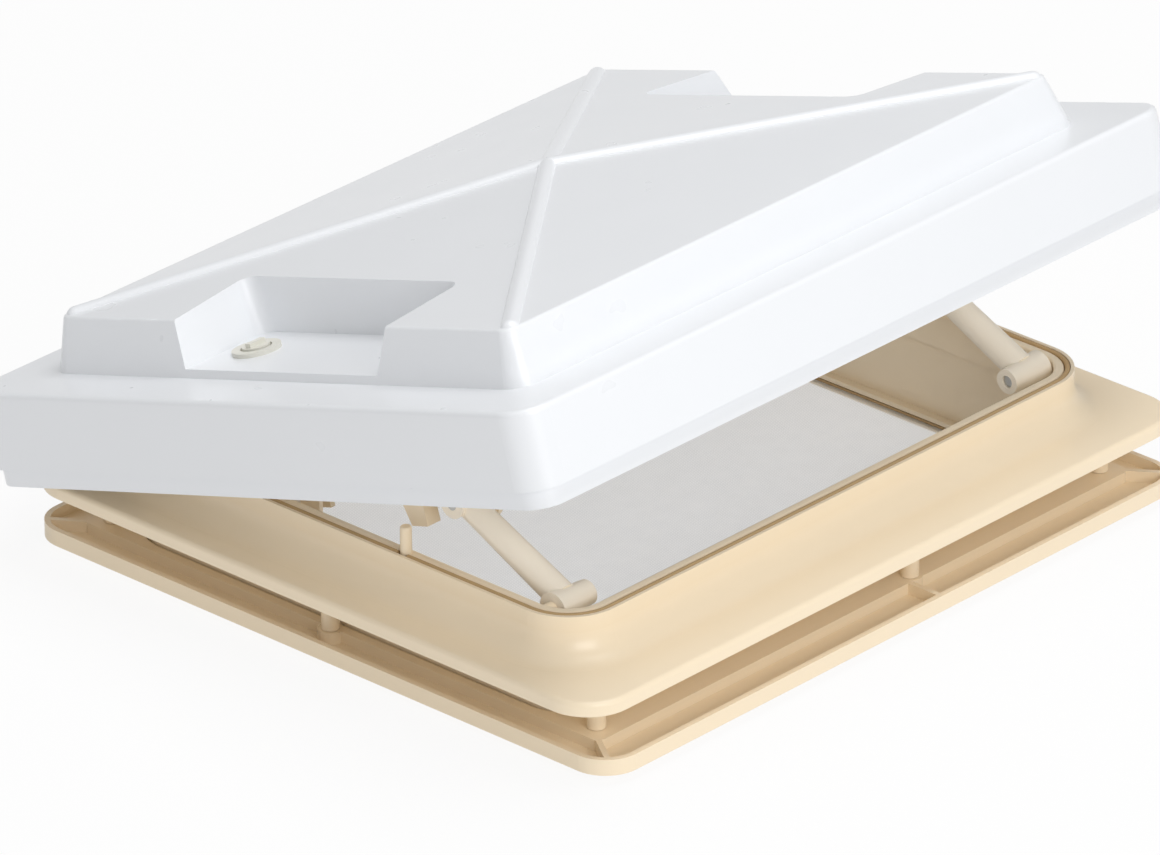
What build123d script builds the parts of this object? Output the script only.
from build123d import *

import math
import os

# A pop-up roof window for a caravan or camper van.
#
# The origin is the middle of the roof cut-out, on the outer skin of the roof, and Z points up.
# The window is modelled as it stands open: the lid leans up towards +X and its low edge is at -X.
# The near side is -Y and the far side is +Y.

os.makedirs("parts", exist_ok=True)

# Clearances
seat_gap = 0.3
pin_fit = 0.05
cut_overrun = 2.0

# The roof that the frames clamp: from its outer skin to the face of the inner frame
roof_depth = 23.8

# Upper frame: the flange on the roof and the upright neck
flange_x = 390.0
flange_y = 448.8
flange_corner = 25.0
flange_depth = 7.5
flange_plate = 3.0
flange_lip = 3.0
flange_edge_round = 2.5
neck_x = 315.2
neck_y = 394.6
neck_corner = 30.0
neck_top = 30.2
neck_blend = 14.0
neck_skin = 1.9
seal_groove = 3.3
seal_groove_floor = 22.0
bead_width = 5.4
bead_round = 1.6
web_thickness = 2.0
well_skin = 2.8
well_skin_foot = 10.7

# Screw posts under the flange: half of them, the others are their twins half a turn round
post_radius = 4.75
pilot_radius = 2.1
post_sink = 0.5
end_post_rise = 1.0
near_corner_post = (166.0, -189.0)
far_corner_post = (166.0, 189.0)
middle_post = (172.0, 36.0)
end_post = (-3.0, -200.5)

# Locating pegs for the closed lid
peg_x = 41.0
peg_y = 191.5
peg_radius = 3.0
peg_top = 44.7
peg_seat_depth = 1.0
peg_tip_round = 1.2

# Rubber seal in the neck's groove
seal_height_over_neck = 0.4
seal_round = 1.2

# Inner frame that clamps the roof from below
trim_x = 398.6
trim_y = 433.8
trim_corner = 20.0
trim_bottom = -32.5
trim_lip_height = 8.7
trim_lip = 3.0
trim_plate = 2.5
ring_x = 355.0
ring_y = 400.0
ring_corner = 5.0
ring_skin = 2.5
ring_gap = 1.5
sleeve_skin = 2.4
sleeve_gap = 1.2
sleeve_top_gap = 2.0
ledge_width = 4.9
web_rib = 3.0
web_rib_sink = 1.2
corner_rib_setback = 1.5
middle_rib_y = 30.0

# Clamp screws and the plugs that hide them
screw_head_radius = 3.9
screw_head_height = 2.6
screw_shank_radius = 2.0
screw_bite = 14.5
plug_radius = 5.0
plug_dish = 0.8
tower_skin = 1.6

# Fly screen
screen_overlap = 8.5
screen_frame_depth = 3.5
screen_frame_corner = 12.0
screen_step = 2.0
rebate_width = 6.0
rebate_depth = 2.0
mesh_thickness = 0.4
mesh_edge = 1.0
mesh_columns = 16
mesh_rows = 18
strand_width = 1.4
spline_width = 1.6
spline_height = 1.3
spline_setback = 2.0
hook_length = 14.0
hook_thickness = 2.0
hook_nib = 1.4
hook_drop = 1.2
hook_x_share = 0.3

# Lid: how it turns
lid_tilt = 16.8
turn_x = -157.2
turn_z = -8.3
rim_height = 13.5

# Outer lid: skirt, ledge, raised block and shallow pyramid
lid_skin = 2.8
skirt_overhang = 4.5
skirt_lean = 0.5
skirt_corner = 18.0
skirt_foot = 10.3
ledge_level = 51.0
skirt_round = 3.0
block_foot_x = 338.3
block_foot_y = 415.1
block_head_x = 323.5
block_head_y = 400.3
block_foot_corner = 12.0
block_head_corner = 7.0
block_level = 79.0
block_round = 2.0
apex_level = 95.4
apex_x = 8.0
apex_y = 10.0
apex_corner = 1.5
rib_radius = 5.3
rib_sink = 2.3
rib_setback_share = 0.965

# Recesses for the cap screws, in the two ends of the block
recess_floor = 55.3
recess_foot_x = 138.0
recess_head_x = 152.0
recess_foot_back = 148.5
recess_head_back = 146.0
recess_corner = 8.0
cap_x = 47.5
cap_y = 176.3

# Inner lid
rim_x = 396.0
rim_y = 472.0
rim_corner = 14.0
rim_skin = 2.5
land_gap_over_seal = 0.3
hat_x = 292.0
hat_y = 372.0
hat_corner = 18.0
hat_skin = 2.5
hat_level = 33.0
peg_pocket_x = 22.0
peg_pocket_y = 18.0
cap_boss_radius = 8.0
cap_pilot_radius = 1.8

# Cap screws and washers
cap_washer_radius = 12.7
cap_washer_bore = 8.2
cap_washer_height = 2.2
cap_head_radius = 7.2
cap_head_height = 3.0
cap_bar_width = 3.6
cap_bar_height = 2.2
cap_shank_radius = 2.0
cap_bite = 16.0

# Lifting arms
arm_length = 76.7
arm_pivot_x = 130.7
arm_pivot_z = 26.0
arm_closed_drop = 31.6
front_arm_lift = 25.5
rear_arm_lift = -0.4
barrel_root_radius = 8.6
barrel_nose_radius = 6.6
barrel_inner = 157.0
barrel_length = 25.0
shaft_centre = 171.5
shaft_root_radius = 7.8
shaft_tip_radius = 6.8
shaft_start = 4.0
eye_radius = 7.5
eye_width = 18.6
pivot_radius = 2.0
pivot_head_radius = 3.0
pivot_head_height = 2.0
pivot_head_sink = 1.2
pivot_bite = 5.0
lug_radius = 4.1
lug_foot = 12.0
tip_pin_radius = 3.0
tip_head_radius = 5.8
tip_head_height = 1.5

# Guide brackets that hang from the inner lid
guide_cheek = 3.0
guide_gap = 0.6
guide_wall = 3.0
guide_eye_gap = 0.7
guide_under_pin = 13.3
guide_past_pin = 12.4
guide_flange_outer = 185.0
guide_flange_inner = 155.0
guide_flange = 3.0
guide_toe_round = 7.0
gusset_outer = 177.5
gusset_skin = 2.5
gusset_toe_setback = 8.0
gusset_root_setback = 27.6
notch_width = 7.0
notch_height = 9.0
slot_margin = 0.3
travel_steps = 16
guide_screw_y = 170.5
guide_screw_inset = 7.5
guide_screw_radius = 1.9
guide_screw_head = 3.8
guide_screw_head_height = 2.0
guide_boss_radius = 4.5
guide_boss_height = 8.0

# Places worked out from the sizes above
well_wall = neck_skin + seal_groove + bead_width
well_x = neck_x - 2 * well_wall
well_y = neck_y - 2 * well_wall
ring_top = -roof_depth
post_foot = ring_top + seat_gap
land_level = neck_top + seal_height_over_neck + land_gap_over_seal - rim_height
lug_face = barrel_inner + barrel_length + seat_gap
lug_back = well_y / 2 + well_skin / 2
pin_end = lug_face + pivot_bite
peg_foot = seal_groove_floor - peg_seat_depth
seal_top = neck_top + seal_height_over_neck
seal_width = seal_groove - 2 * seat_gap
seal_x = neck_x - 2 * neck_skin - 2 * seat_gap
seal_y = neck_y - 2 * neck_skin - 2 * seat_gap
seal_corner = neck_corner - neck_skin - seat_gap
sleeve_x = well_x + 2 * (well_skin + sleeve_gap + sleeve_skin)
sleeve_y = well_y + 2 * (well_skin + sleeve_gap + sleeve_skin)
sleeve_corner = neck_corner - well_wall + well_skin + sleeve_gap + sleeve_skin
sleeve_top = seal_groove_floor - web_thickness - sleeve_top_gap
floor_open_x = sleeve_x - 2 * (sleeve_skin + ledge_width)
floor_open_y = sleeve_y - 2 * (sleeve_skin + ledge_width)
floor_corner = sleeve_corner - sleeve_skin - ledge_width
tower_radius = plug_radius + tower_skin
post_top = flange_depth - post_sink
end_post_top = flange_depth + end_post_rise
screen_frame_x = floor_open_x + 2 * screen_overlap
screen_frame_y = floor_open_y + 2 * screen_overlap
lip_corner_share = 1 - math.sin(math.atan2(1, 1))
lip_tip_x = trim_x / 2 - trim_lip - lip_corner_share * (trim_corner - trim_lip)
lip_tip_y = trim_y / 2 - trim_lip - lip_corner_share * (trim_corner - trim_lip)
ring_tip_x = ring_x / 2 - corner_rib_setback
ring_tip_y = ring_y / 2 - corner_rib_setback
corner_rib_length = math.hypot(lip_tip_x - ring_tip_x, lip_tip_y - ring_tip_y) + 2 * web_rib_sink
corner_rib_turn = math.degrees(math.atan2(lip_tip_y - ring_tip_y, lip_tip_x - ring_tip_x))
middle_rib_length = (trim_x - ring_x) / 2 - trim_lip + 2 * web_rib_sink
middle_rib_x = (trim_x / 2 - trim_lip + ring_x / 2) / 2
skirt_foot_x = rim_x + 2 * skirt_overhang
skirt_foot_y = rim_y + 2 * skirt_overhang
skirt_head_x = skirt_foot_x - 2 * skirt_lean
skirt_head_y = skirt_foot_y - 2 * skirt_lean
screen_top = trim_bottom - seat_gap
screen_bottom = screen_top - screen_frame_depth
screen_open_x = floor_open_x - 2 * screen_step
screen_open_y = floor_open_y - 2 * screen_step
screen_open_corner = floor_corner - screen_step
mesh_level = screen_top - rebate_depth
hook_foot = screen_bottom - seat_gap - hook_drop
hook_place = hook_x_share * screen_frame_x
guide_inner = barrel_inner + pivot_head_sink
eye_inner = guide_inner + guide_cheek + guide_gap
tip_head_inner = guide_inner - seat_gap - tip_head_height
rib_foot_x = rib_setback_share * block_head_x / 2
rib_foot_y = rib_setback_share * block_head_y / 2
near_posts = [near_corner_post, far_corner_post, middle_post, end_post]
posts = near_posts + [(-x, -y) for x, y in near_posts]
ends = {"front": 1, "rear": -1}
sides = {"near": -1, "far": 1}

# The lid's own level ground: its origin is the middle of the rim's lower edge, tilted as the lid stands
lid_turn = Location((turn_x, 0, turn_z)) * Location((0, 0, 0), (0, -lid_tilt, 0))
deck = Plane(lid_turn * Location((-turn_x, 0, rim_height - turn_z)))
deck_axis = Axis(deck.origin, deck.z_dir)


def level(height):
    """A level plane of the frame at a height."""
    return Plane.XY.offset(height)


def upright(x, y, height):
    """A level plane of the frame that is centred on a post or screw."""
    return Plane((x, y, height))


def deck_level(height):
    """A plane of the lid, level with its rim when closed."""
    return deck.offset(height)


def on_deck(x, y, height):
    """A plane of the lid that is centred on a boss or screw."""
    return Plane(deck.from_local_coords((x, y, height)), x_dir=deck.x_dir, z_dir=deck.z_dir)


def crosswise(y_side, inner, outer):
    """An upright plane along X, where a profile extruded towards -Y fills the space from inner to outer."""
    return Plane((0, max(y_side * inner, y_side * outer), 0), x_dir=(1, 0, 0), z_dir=(0, -1, 0))


def deck_crosswise(y_side, inner, outer):
    """The same for a profile that is drawn in the lid's own tilted X and Z."""
    start = deck.from_local_coords((0, max(y_side * inner, y_side * outer), 0))
    return Plane(start, x_dir=deck.x_dir, z_dir=(0, -1, 0))


def slab(plane, size_x, size_y, corner, height, mode=Mode.ADD):
    """Adds or cuts a plate with rounded corners that stands on a plane."""
    with BuildSketch(plane) as outline:
        RectangleRounded(size_x, size_y, corner)
    extrude(outline.sketch, amount=height, mode=mode)


def hoop(plane, size_x, size_y, corner, wall, height, mode=Mode.ADD, inner_corner=None):
    """Adds or cuts a rounded hoop of even wall, given by its outside."""
    inner_corner = inner_corner or corner - wall
    with BuildSketch(plane) as outline:
        RectangleRounded(size_x, size_y, corner)
        RectangleRounded(size_x - 2 * wall, size_y - 2 * wall, inner_corner, mode=Mode.SUBTRACT)
    extrude(outline.sketch, amount=height, mode=mode)


def drafted(plane, foot_x, foot_y, head_x, head_y, corner, height, mode=Mode.ADD, head_corner=None):
    """Adds or cuts a rounded block whose sides lean inwards."""
    with BuildSketch(plane) as foot:
        RectangleRounded(foot_x, foot_y, corner)
    with BuildSketch(plane.offset(height)) as head:
        RectangleRounded(head_x, head_y, head_corner or corner)
    loft([foot.sketch, head.sketch], ruled=True, mode=mode)


def rod(plane, radius, length, mode=Mode.ADD):
    """Adds or cuts a round bar that starts on a plane."""
    with BuildSketch(plane) as disc:
        Circle(radius)
    extrude(disc.sketch, amount=length, mode=mode)


def cross_rod(plane, x, height, radius, length, mode=Mode.ADD):
    """Adds or cuts a round bar along Y that starts on a crosswise plane."""
    with BuildSketch(plane) as disc:
        with Locations((x, height)):
            Circle(radius)
    extrude(disc.sketch, amount=length, mode=mode)


def cross_cone(plane, x, height, start_radius, end_radius, length):
    """Adds a tapered round bar along Y that starts on a crosswise plane."""
    with BuildSketch(plane) as start:
        with Locations((x, height)):
            Circle(start_radius)
    with BuildSketch(plane.offset(length)) as end:
        with Locations((x, height)):
            Circle(end_radius)
    loft([start.sketch, end.sketch])


def peg_pocket(y_side, skin, foot, head, mode):
    """Adds or cuts the pocket of the inner lid that a locating peg stands in."""
    with BuildSketch(deck_level(foot)) as pocket:
        with Locations((-y_side * peg_x, y_side * peg_y)):
            Rectangle(peg_pocket_x + 2 * skin, peg_pocket_y + 2 * skin)
    extrude(pocket.sketch, amount=head - foot, mode=mode)


def arm_lift(x_side, open_share):
    """How far an arm is raised above level, in radians, at a share of the lid's lift."""
    lift_open = math.radians(front_arm_lift if x_side > 0 else rear_arm_lift)
    lift_closed = -math.asin(arm_closed_drop / arm_length)
    return lift_closed + open_share * (lift_open - lift_closed)


def pin_on_deck(x_side, open_share):
    """Where an arm's pin lies in the lid's own X and Z at a share of the lid's lift."""
    lift = arm_lift(x_side, open_share)
    pin_x = x_side * (arm_pivot_x - arm_length * math.cos(lift)) - turn_x
    pin_z = arm_pivot_z + arm_length * math.sin(lift) - turn_z
    tilt = math.radians(lid_tilt * open_share)
    deck_x = pin_x * math.cos(tilt) + pin_z * math.sin(tilt) + turn_x
    deck_z = pin_z * math.cos(tilt) - pin_x * math.sin(tilt) + turn_z - rim_height
    return deck_x, deck_z


def pin_path(x_side):
    """The distances from the middle and the heights that an arm's pin passes through, on the deck."""
    places = [pin_on_deck(x_side, step / travel_steps) for step in range(travel_steps + 1)]
    return [x_side * x for x, z in places], [z for x, z in places]


def guide_span(x_side):
    """Where a guide bracket starts and ends, as distances from the middle."""
    distances = pin_path(x_side)[0]
    return min(distances) - eye_radius - guide_eye_gap - guide_wall, max(distances) + guide_past_pin


def guide_screw_places(x_side):
    """The distances from the middle at which a bracket's two screws stand."""
    start, end = guide_span(x_side)
    return start + guide_screw_inset, end - guide_screw_inset


def profile(plane, points, depth, mode=Mode.ADD):
    """Adds or cuts a plate with the outline of some points."""
    with BuildSketch(plane) as outline:
        Polygon(*points, align=None)
    extrude(outline.sketch, amount=depth, dir=plane.z_dir, mode=mode)


def save(piece, name):
    """Labels a finished piece and writes it."""
    piece.part.label = name
    export_step(piece.part, f"parts/{name}.step")


# Upper frame: flange and neck, hollow from below, with a groove for the seal round the neck's top
with BuildPart() as frame_hollow:
    slab(level(-cut_overrun), flange_x - 2 * flange_lip, flange_y - 2 * flange_lip,
         flange_corner - flange_lip, flange_depth - flange_plate + cut_overrun)
    slab(level(0), neck_x - 2 * neck_skin, neck_y - 2 * neck_skin, neck_corner - neck_skin,
         seal_groove_floor - web_thickness)
    hollow_step = frame_hollow.faces().filter_by(Axis.Z).sort_by(Axis.Z)[-2]
    fillet(hollow_step.inner_wires()[0].edges(), neck_blend + flange_plate - neck_skin)

with BuildPart() as upper_frame:
    slab(level(0), flange_x, flange_y, flange_corner, flange_depth)
    flange_rim = upper_frame.faces().sort_by(Axis.Z)[-1].edges()
    fillet(flange_rim, flange_edge_round)
    slab(level(0), neck_x, neck_y, neck_corner, neck_top)
    flange_face = upper_frame.faces().filter_by(Axis.Z).sort_by(Axis.Z)[-2]
    fillet(flange_face.inner_wires()[0].edges(), neck_blend)
    add(frame_hollow.part, mode=Mode.SUBTRACT)
    slab(level(well_skin_foot), well_x + 2 * well_skin, well_y + 2 * well_skin,
         neck_corner - well_wall + well_skin, seal_groove_floor - well_skin_foot)
    slab(level(0), well_x, well_y, neck_corner - well_wall, neck_top + cut_overrun, mode=Mode.SUBTRACT)
    hoop(level(seal_groove_floor), neck_x - 2 * neck_skin, neck_y - 2 * neck_skin,
         neck_corner - neck_skin, seal_groove, neck_top, mode=Mode.SUBTRACT)
    bead_top = upper_frame.faces().filter_by(Axis.Z).sort_by(Axis.Z)[-2:].sort_by(SortBy.AREA)[-1]
    fillet(bead_top.edges(), bead_round)
    for x, y in posts:
        beside_neck = abs(y) > neck_y / 2
        top = end_post_top if beside_neck else post_top
        rod(upright(x, y, post_foot), post_radius, top - post_foot)
        rod(upright(x, y, post_foot), pilot_radius, flange_depth - flange_plate - post_foot,
            mode=Mode.SUBTRACT)
    for y_side in sides.values():
        for x_side in ends.values():
            lug_x = x_side * arm_pivot_x
            lug_plane = crosswise(y_side, lug_face, lug_back)
            with BuildSketch(lug_plane) as lug:
                with Locations((lug_x, arm_pivot_z)):
                    Circle(lug_radius)
                with Locations((lug_x, (arm_pivot_z + lug_foot) / 2)):
                    Rectangle(2 * lug_radius, arm_pivot_z - lug_foot)
            extrude(lug.sketch, amount=lug_back - lug_face)
            cross_rod(crosswise(y_side, lug_face, pin_end + seat_gap), lug_x, arm_pivot_z,
                      pivot_radius + pin_fit, pin_end + seat_gap - lug_face, mode=Mode.SUBTRACT)
        rod(upright(-y_side * peg_x, y_side * peg_y, peg_foot), peg_radius + pin_fit, neck_top,
            mode=Mode.SUBTRACT)
save(upper_frame, "upper_frame")

# Rubber seal in the groove, open where the pegs stand
with BuildPart() as rim_seal:
    hoop(level(seal_groove_floor), seal_x, seal_y, seal_corner, seal_width, seal_top - seal_groove_floor)
    seal_face = rim_seal.faces().sort_by(Axis.Z)[-1]
    fillet(seal_face.edges(), seal_round)
    for y_side in sides.values():
        with BuildSketch(level(seal_groove_floor - cut_overrun)) as peg_gap:
            with Locations((-y_side * peg_x, y_side * peg_y)):
                Rectangle(2 * (peg_radius + seat_gap), 2 * seal_groove + 2 * peg_radius)
        extrude(peg_gap.sketch, amount=seal_top, mode=Mode.SUBTRACT)
save(rim_seal, "rim_seal")

# Locating pegs that guide the closing lid
with BuildPart() as locating_pegs:
    for y_side in sides.values():
        rod(upright(-y_side * peg_x, y_side * peg_y, peg_foot), peg_radius, peg_top - peg_foot)
    peg_heads = locating_pegs.faces().group_by(Axis.Z)[-1]
    fillet(peg_heads.edges(), peg_tip_round)
save(locating_pegs, "locating_pegs")

# Inner frame: trim plate with a raised lip, a clamping ring on screw towers and a sleeve up the opening
with BuildPart() as interior_frame:
    slab(level(trim_bottom), trim_x, trim_y, trim_corner, trim_plate)
    hoop(level(trim_bottom), trim_x, trim_y, trim_corner, trim_lip, trim_lip_height)
    hoop(level(trim_bottom), ring_x, ring_y, ring_corner, ring_skin, ring_top - trim_bottom)
    slab(level(ring_top - ring_skin), ring_x, ring_y, ring_corner, ring_skin)
    slab(level(ring_top - ring_skin), sleeve_x + 2 * ring_gap, sleeve_y + 2 * ring_gap,
         sleeve_corner + ring_gap, ring_skin, mode=Mode.SUBTRACT)
    hoop(level(trim_bottom), sleeve_x, sleeve_y, sleeve_corner, sleeve_skin, sleeve_top - trim_bottom)
    slab(level(trim_bottom - cut_overrun), floor_open_x, floor_open_y, floor_corner,
         trim_plate + 2 * cut_overrun, mode=Mode.SUBTRACT)
    for x_side in (-1, 1):
        for y_side in (-1, 1):
            rib_x = x_side * (ring_tip_x + lip_tip_x) / 2
            rib_y = y_side * (ring_tip_y + lip_tip_y) / 2
            with BuildSketch(level(trim_bottom)) as corner_web:
                with Locations(Location((rib_x, rib_y, 0), (0, 0, x_side * y_side * corner_rib_turn))):
                    Rectangle(corner_rib_length, web_rib)
            extrude(corner_web.sketch, amount=ring_top - trim_bottom)
        with BuildSketch(level(trim_bottom)) as middle_web:
            with Locations((x_side * middle_rib_x, x_side * middle_rib_y)):
                Rectangle(middle_rib_length, web_rib)
        extrude(middle_web.sketch, amount=ring_top - trim_bottom)
    for x, y in posts:
        rod(upright(x, y, trim_bottom), tower_radius, ring_top - trim_bottom)
        rod(upright(x, y, trim_bottom), plug_radius + pin_fit, ring_top - ring_skin - trim_bottom,
            mode=Mode.SUBTRACT)
        rod(upright(x, y, ring_top - ring_skin), screw_shank_radius + seat_gap, ring_skin,
            mode=Mode.SUBTRACT)
    for y_side in (-1, 1):
        for hook_x in (-hook_place, hook_place):
            hook_base = y_side * (screen_frame_y / 2 + seat_gap + hook_thickness / 2)
            hook_nib_y = y_side * (screen_frame_y / 2 + seat_gap + hook_thickness / 2 - hook_nib / 2)
            with BuildSketch(level(hook_foot)) as hook:
                with Locations((hook_x, hook_base)):
                    Rectangle(hook_length, hook_thickness)
            extrude(hook.sketch, amount=trim_bottom - hook_foot)
            with BuildSketch(level(hook_foot)) as nib:
                with Locations((hook_x, hook_nib_y)):
                    Rectangle(hook_length, hook_thickness + hook_nib)
            extrude(nib.sketch, amount=hook_drop)
save(interior_frame, "interior_frame")

# Clamp screws: each passes the ring and bites into its post
with BuildPart() as clamp_screws:
    for x, y in posts:
        head_foot = ring_top - ring_skin - screw_head_height
        rod(upright(x, y, head_foot), screw_head_radius, screw_head_height)
        rod(upright(x, y, head_foot), screw_shank_radius, screw_head_height + ring_skin + screw_bite)
        with BuildSketch(upright(x, y, head_foot)) as drive:
            Rectangle(screw_head_radius, screw_head_height / 3)
            Rectangle(screw_head_height / 3, screw_head_radius)
        extrude(drive.sketch, amount=screw_head_height / 2, mode=Mode.SUBTRACT)
save(clamp_screws, "clamp_screws")

# Plugs that close the screw holes in the trim plate
with BuildPart() as screw_plugs:
    for x, y in posts:
        rod(upright(x, y, trim_bottom), plug_radius, trim_plate)
        rod(upright(x, y, trim_bottom), plug_radius - plug_dish, plug_dish, mode=Mode.SUBTRACT)
save(screw_plugs, "screw_plugs")

# Fly screen: a frame with a rebate, a net laid in it and a bead that holds the net down
with BuildPart() as screen_frame:
    slab(level(screen_bottom), screen_frame_x, screen_frame_y, screen_frame_corner, screen_frame_depth)
    slab(level(screen_bottom - cut_overrun), screen_open_x, screen_open_y, screen_open_corner,
         screen_frame_depth + 2 * cut_overrun, mode=Mode.SUBTRACT)
    slab(level(mesh_level), screen_open_x + 2 * rebate_width, screen_open_y + 2 * rebate_width,
         screen_open_corner + rebate_width, rebate_depth + cut_overrun, mode=Mode.SUBTRACT)
save(screen_frame, "screen_frame")

with BuildPart() as fly_mesh:
    mesh_x = screen_open_x + 2 * rebate_width - 2 * mesh_edge
    mesh_y = screen_open_y + 2 * rebate_width - 2 * mesh_edge
    gap_x = (screen_open_x - strand_width) / mesh_columns - strand_width
    gap_y = (screen_open_y - strand_width) / mesh_rows - strand_width
    with BuildSketch(level(mesh_level)) as net:
        RectangleRounded(mesh_x, mesh_y, screen_open_corner + rebate_width - mesh_edge)
        with GridLocations(gap_x + strand_width, gap_y + strand_width, mesh_columns, mesh_rows):
            Rectangle(gap_x, gap_y, mode=Mode.SUBTRACT)
    extrude(amount=mesh_thickness)
save(fly_mesh, "fly_mesh")

with BuildPart() as screen_spline:
    hoop(level(mesh_level + mesh_thickness), screen_open_x + 2 * spline_setback + 2 * spline_width,
         screen_open_y + 2 * spline_setback + 2 * spline_width,
         screen_open_corner + spline_setback + spline_width, spline_width, spline_height)
save(screen_spline, "screen_spline")


def recess(y_side, skin, mode):
    """Cuts the pocket for a cap screw into one end of the block, wider by a skin on every side."""
    front = block_foot_y / 2 + cut_overrun
    climb = (apex_level - recess_floor + skin) / (block_level - recess_floor)
    foot_x = recess_foot_x + 2 * skin
    head_x = foot_x + climb * (recess_head_x - recess_foot_x)
    foot_back = recess_foot_back - skin
    head_back = foot_back - climb * (recess_foot_back - recess_head_back)
    with BuildSketch(deck_level(recess_floor - skin)) as foot:
        with Locations((0, y_side * (front + foot_back) / 2)):
            RectangleRounded(foot_x, front - foot_back, recess_corner)
    with BuildSketch(deck_level(apex_level)) as head:
        with Locations((0, y_side * (front + head_back) / 2)):
            RectangleRounded(head_x, front - head_back, recess_corner)
    loft([foot.sketch, head.sketch], ruled=True, mode=mode)
    mouth_depth = 2 * recess_corner
    with BuildSketch(deck_level(recess_floor - skin)) as mouth_foot:
        with Locations((0, y_side * front)):
            Rectangle(foot_x, mouth_depth)
    with BuildSketch(deck_level(apex_level)) as mouth_head:
        with Locations((0, y_side * front)):
            Rectangle(head_x, mouth_depth)
    loft([mouth_foot.sketch, mouth_head.sketch], ruled=True, mode=mode)


# The hollow inside the outer lid
with BuildPart() as lid_hollow:
    drafted(deck_level(skirt_foot), skirt_foot_x - 2 * lid_skin, skirt_foot_y - 2 * lid_skin,
            skirt_head_x - 2 * lid_skin, skirt_head_y - 2 * lid_skin, skirt_corner - lid_skin,
            ledge_level - skirt_foot - lid_skin)
    drafted(deck_level(ledge_level - 2 * lid_skin), block_foot_x - 2 * lid_skin, block_foot_y - 2 * lid_skin,
            block_head_x - 2 * lid_skin, block_head_y - 2 * lid_skin, block_foot_corner - lid_skin,
            block_level - ledge_level + lid_skin, head_corner=block_head_corner - lid_skin)
    drafted(deck_level(block_level - lid_skin), block_head_x - 2 * lid_skin, block_head_y - 2 * lid_skin,
            apex_x, apex_y, block_head_corner - lid_skin, apex_level - block_level,
            head_corner=apex_corner)
    for y_side in sides.values():
        recess(y_side, lid_skin, Mode.SUBTRACT)

# Outer lid
with BuildPart() as outer_lid:
    drafted(deck_level(skirt_foot), skirt_foot_x, skirt_foot_y, skirt_head_x, skirt_head_y, skirt_corner,
            ledge_level - skirt_foot)
    ledge_edges = outer_lid.faces().sort_by(deck_axis)[-1].edges()
    fillet(ledge_edges, skirt_round)
    drafted(deck_level(ledge_level), block_foot_x, block_foot_y, block_head_x, block_head_y,
            block_foot_corner, block_level - ledge_level, head_corner=block_head_corner)
    block_edges = outer_lid.faces().sort_by(deck_axis)[-1].edges()
    fillet(block_edges, block_round)
    drafted(deck_level(block_level), block_head_x - 2 * block_round, block_head_y - 2 * block_round,
            apex_x, apex_y, block_head_corner - block_round, apex_level - block_level,
            head_corner=apex_corner)
    for x_side in (-1, 1):
        for y_side in (-1, 1):
            foot = deck.from_local_coords((x_side * rib_foot_x, y_side * rib_foot_y, block_level - rib_sink))
            peak = deck.from_local_coords((0, 0, apex_level - rib_sink))
            rod(Plane(foot, z_dir=peak - foot), rib_radius, (peak - foot).length)
            with Locations(Location(foot)):
                Sphere(rib_radius)
    for y_side in sides.values():
        recess(y_side, 0, Mode.SUBTRACT)
    add(lid_hollow.part, mode=Mode.SUBTRACT)
    for y_side in sides.values():
        rod(on_deck(y_side * cap_x, y_side * cap_y, ledge_level), cap_shank_radius + seat_gap,
            recess_floor, mode=Mode.SUBTRACT)
save(outer_lid, "outer_lid")

# Inner lid: a rim band, a land over the neck's seal and a raised hat that clears the barrels
with BuildPart() as inner_lid:
    slab(deck_level(0), rim_x, rim_y, rim_corner, land_level + rim_skin)
    slab(deck_level(0), rim_x - 2 * rim_skin, rim_y - 2 * rim_skin, rim_corner - rim_skin, land_level,
         mode=Mode.SUBTRACT)
    slab(deck_level(land_level), hat_x + 2 * hat_skin, hat_y + 2 * hat_skin, hat_corner + hat_skin,
         hat_level + hat_skin - land_level)
    for y_side in sides.values():
        peg_pocket(y_side, hat_skin, land_level, hat_level + hat_skin, Mode.ADD)
    slab(deck_level(0), hat_x, hat_y, hat_corner, hat_level, mode=Mode.SUBTRACT)
    for y_side in sides.values():
        peg_pocket(y_side, 0, 0, hat_level, Mode.SUBTRACT)
        boss_top = recess_floor - lid_skin - seat_gap
        rod(on_deck(y_side * cap_x, y_side * cap_y, hat_level), cap_boss_radius, boss_top - hat_level)
        rod(on_deck(y_side * cap_x, y_side * cap_y, boss_top - cap_bite), cap_pilot_radius, cap_bite,
            mode=Mode.SUBTRACT)
        for x_side in ends.values():
            for screw_x in guide_screw_places(x_side):
                screw_place = (x_side * screw_x, y_side * guide_screw_y)
                rod(on_deck(*screw_place, hat_level), guide_boss_radius, guide_boss_height)
                rod(on_deck(*screw_place, hat_level), guide_screw_radius, guide_boss_height - guide_flange,
                    mode=Mode.SUBTRACT)
save(inner_lid, "inner_lid")

# Cap screws with a cross bar, each on a dished washer
with BuildPart() as cap_washers:
    for y_side in sides.values():
        washer_plane = on_deck(y_side * cap_x, y_side * cap_y, recess_floor)
        rod(washer_plane, cap_washer_radius, cap_washer_height)
        rod(washer_plane, cap_washer_bore, cap_washer_height, mode=Mode.SUBTRACT)
save(cap_washers, "cap_washers")

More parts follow.
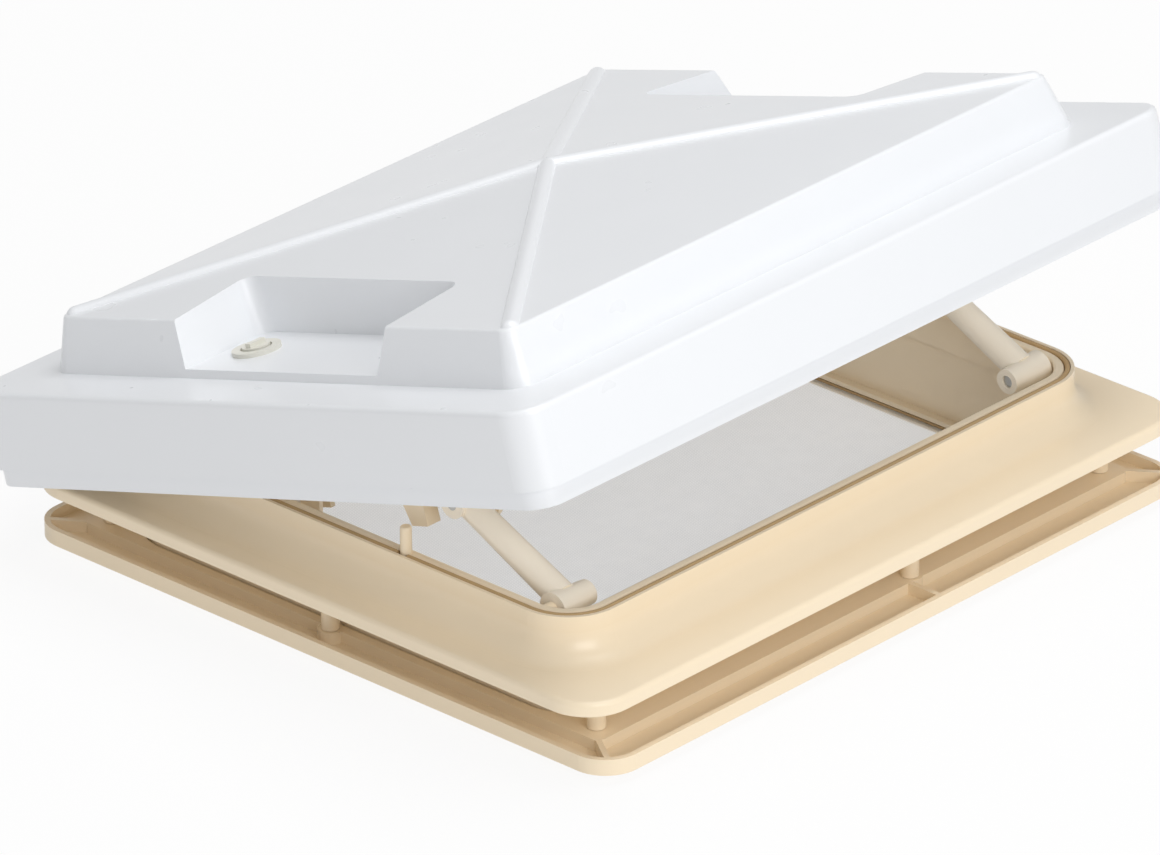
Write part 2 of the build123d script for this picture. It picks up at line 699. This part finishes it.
with BuildPart() as cap_screws:
    for y_side in sides.values():
        head_plane = on_deck(y_side * cap_x, y_side * cap_y, recess_floor)
        rod(head_plane, cap_head_radius, cap_head_height)
        with BuildSketch(head_plane.offset(cap_head_height)) as bar:
            Rectangle(cap_bar_width, 2 * cap_head_radius - cap_bar_width)
        extrude(bar.sketch, amount=cap_bar_height)
        shank_length = lid_skin + seat_gap + cap_bite
        rod(on_deck(y_side * cap_x, y_side * cap_y, recess_floor - shank_length + seat_gap),
            cap_shank_radius - seat_gap, shank_length)
save(cap_screws, "cap_screws")

# Guide brackets: a slotted cheek, an end wall with a notch and a leaning gusset under a screw flange
for end_name, x_side in ends.items():
    distances, heights = pin_path(x_side)
    guide_start, guide_end = guide_span(x_side)
    guide_bottom = min(heights) - guide_under_pin
    cheek_height = hat_level - guide_bottom
    slot_height = max(heights) - min(heights) + 2 * (tip_pin_radius + slot_margin)
    slot_length = max(distances) - min(distances)
    slot_place = (x_side * (min(distances) + slot_length / 2), (min(heights) + max(heights)) / 2)
    for side_name, y_side in sides.items():
        with BuildPart() as guide_bracket:
            cheek_plane = deck_crosswise(y_side, guide_inner, guide_inner + guide_cheek)
            with BuildSketch(cheek_plane) as cheek:
                with Locations((x_side * (guide_start + guide_end) / 2, hat_level - cheek_height / 2)):
                    Rectangle(guide_end - guide_start, cheek_height)
                toe = cheek.vertices().group_by(Axis.Y)[0]
                fillet(toe.sort_by(Axis.X)[-1 if x_side > 0 else 0], guide_toe_round)
                with Locations(slot_place):
                    SlotCenterToCenter(slot_length, slot_height, mode=Mode.SUBTRACT)
            extrude(cheek.sketch, amount=guide_cheek)
            wall_plane = deck_crosswise(y_side, guide_inner, gusset_outer)
            with BuildSketch(wall_plane) as end_wall:
                with Locations((x_side * (guide_start + guide_wall / 2), hat_level - cheek_height / 2)):
                    Rectangle(guide_wall, cheek_height)
            extrude(end_wall.sketch, amount=gusset_outer - guide_inner)
            notch_start = guide_inner + guide_cheek
            with BuildSketch(deck_crosswise(y_side, notch_start, notch_start + notch_width)) as notch:
                with Locations((x_side * (guide_start + guide_wall / 2), guide_bottom)):
                    Rectangle(2 * guide_wall, 2 * notch_height)
            extrude(notch.sketch, amount=notch_width, mode=Mode.SUBTRACT)
            gusset_points = [
                (x_side * (guide_start + guide_wall), hat_level),
                (x_side * (guide_start - gusset_root_setback), hat_level),
                (x_side * (guide_start - gusset_toe_setback), guide_bottom),
                (x_side * (guide_start + guide_wall), guide_bottom),
            ]
            profile(deck_crosswise(y_side, gusset_outer - gusset_skin, gusset_outer), gusset_points,
                    gusset_skin)
            flange_middle_y = y_side * (guide_flange_inner + guide_flange_outer) / 2
            with BuildSketch(deck_level(hat_level - guide_flange)) as flange:
                with Locations((x_side * (guide_start + guide_end) / 2, flange_middle_y)):
                    Rectangle(guide_end - guide_start, guide_flange_outer - guide_flange_inner)
            extrude(flange.sketch, amount=guide_flange)
            for screw_x in guide_screw_places(x_side):
                rod(on_deck(x_side * screw_x, y_side * guide_screw_y, hat_level - guide_flange),
                    guide_screw_radius + pin_fit, guide_flange, mode=Mode.SUBTRACT)
        save(guide_bracket, f"guide_bracket_{end_name}_{side_name}")

with BuildPart() as bracket_screws:
    for x_side in ends.values():
        for y_side in sides.values():
            for screw_x in guide_screw_places(x_side):
                head_height = hat_level - guide_flange - guide_screw_head_height
                screw_plane = on_deck(x_side * screw_x, y_side * guide_screw_y, head_height)
                rod(screw_plane, guide_screw_head, guide_screw_head_height)
                rod(screw_plane, guide_screw_radius - pin_fit,
                    guide_screw_head_height + guide_boss_height - guide_flange)
save(bracket_screws, "bracket_screws")

# Lifting arms: a barrel on the neck's lug, a tapered shaft and an eye with a pin in the guide slot
for end_name, x_side in ends.items():
    for side_name, y_side in sides.items():
        lift = arm_lift(x_side, 1)
        pivot = Vector(x_side * arm_pivot_x, 0, arm_pivot_z)
        reach = Vector(-x_side * math.cos(lift), 0, math.sin(lift))
        tip = pivot + reach * arm_length
        middle = Vector(0, y_side * shaft_centre, 0)
        with BuildPart() as arm:
            barrel_plane = crosswise(y_side, barrel_inner, barrel_inner + barrel_length)
            barrel_radii = (barrel_root_radius, barrel_nose_radius)[::y_side]
            cross_cone(barrel_plane, pivot.X, pivot.Z, *barrel_radii, barrel_length)
            with BuildSketch(Plane(pivot + middle + reach * shaft_start, z_dir=reach)) as root:
                Circle(shaft_root_radius)
            with BuildSketch(Plane(tip + middle, z_dir=reach)) as neck:
                Circle(shaft_tip_radius)
            loft([root.sketch, neck.sketch])
            eye_plane = crosswise(y_side, eye_inner, eye_inner + eye_width)
            cross_rod(eye_plane, tip.X, tip.Z, eye_radius, eye_width)
            cross_rod(barrel_plane, pivot.X, pivot.Z, pivot_radius + pin_fit, barrel_length,
                      mode=Mode.SUBTRACT)
            sink = pivot_head_sink + pivot_head_height + seat_gap
            cross_rod(crosswise(y_side, barrel_inner, barrel_inner + sink), pivot.X, pivot.Z,
                      pivot_head_radius + seat_gap, sink, mode=Mode.SUBTRACT)
            cross_rod(eye_plane, tip.X, tip.Z, tip_pin_radius + pin_fit, eye_width, mode=Mode.SUBTRACT)
        save(arm, f"arm_{end_name}_{side_name}")
        with BuildPart() as tip_pin:
            cross_rod(crosswise(y_side, tip_head_inner, eye_inner + eye_width), tip.X, tip.Z,
                      tip_pin_radius, eye_inner + eye_width - tip_head_inner)
            cross_rod(crosswise(y_side, tip_head_inner, tip_head_inner + tip_head_height), tip.X, tip.Z,
                      tip_head_radius, tip_head_height)
        save(tip_pin, f"tip_pin_{end_name}_{side_name}")

with BuildPart() as pivot_pins:
    for x_side in ends.values():
        for y_side in sides.values():
            head_inner = barrel_inner + pivot_head_sink
            cross_rod(crosswise(y_side, head_inner, pin_end), x_side * arm_pivot_x, arm_pivot_z,
                      pivot_radius, pin_end - head_inner)
            cross_rod(crosswise(y_side, head_inner, head_inner + pivot_head_height),
                      x_side * arm_pivot_x, arm_pivot_z, pivot_head_radius, pivot_head_height)
save(pivot_pins, "pivot_pins")
